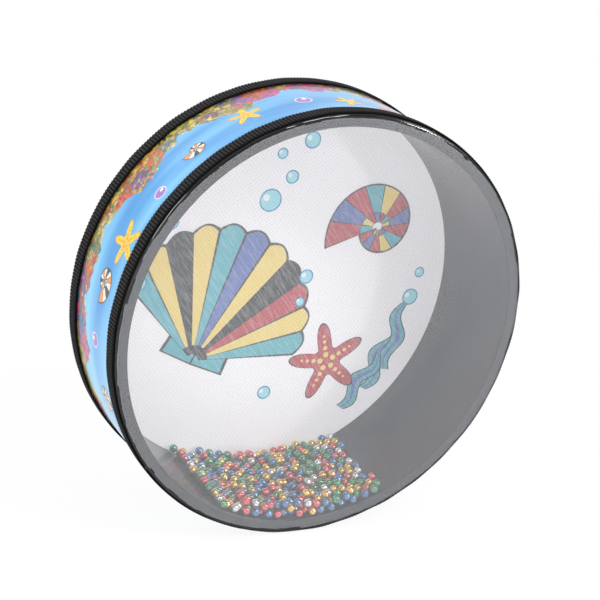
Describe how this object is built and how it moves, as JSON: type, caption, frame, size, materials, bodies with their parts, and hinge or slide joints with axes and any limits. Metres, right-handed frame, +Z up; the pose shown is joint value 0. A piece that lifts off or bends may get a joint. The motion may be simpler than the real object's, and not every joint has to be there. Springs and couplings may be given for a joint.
{
  "type": "ocean drum",
  "caption": "Shallow round ocean drum with a clear front head, a printed back head and wrap, ribbed rim ribbons and loose coloured beads that roll inside to sound like waves.",
  "frame": {"origin": "middle of the drum, on its axis and halfway between the two heads", "axes": "+Y along the drum's axis from the clear front head to the printed back head, +Z up with the drum standing on its rim"},
  "size_m": [0.25, 0.0742, 0.25],
  "materials": {
    "black_fibreboard": "satin black paint on bent fibreboard",
    "printed_wrap": "glossy printed film, sea blue with reef colours",
    "clear_film": "milky clear polyester film",
    "white_film": "white printed film with a fine woven grain",
    "black_ribbon": "ribbed woven ribbon",
    "blue_lacquer": "metallic lacquer on steel shot",
    "gold_lacquer": "metallic lacquer on steel shot",
    "red_lacquer": "metallic lacquer on steel shot",
    "green_lacquer": "metallic lacquer on steel shot",
    "silver_lacquer": "bright plating on steel shot"
  },
  "bodies": {
    "drum": {"shell": "black_fibreboard", "shell_wrap": "printed_wrap", "front_head": "clear_film", "back_head": "white_film", "front_ribbon": "black_ribbon", "back_ribbon": "black_ribbon"},
    "beads": {"beads_blue": "blue_lacquer", "beads_gold": "gold_lacquer", "beads_red": "red_lacquer", "beads_green": "green_lacquer", "beads_silver": "silver_lacquer"}
  },
  "joints": [
    {"name": "bead_roll", "type": "hinge", "parent": "drum", "child": "beads", "pos_m": [0, 0, 0], "axis": [0, 1, 0], "continuous": true}
  ]
}
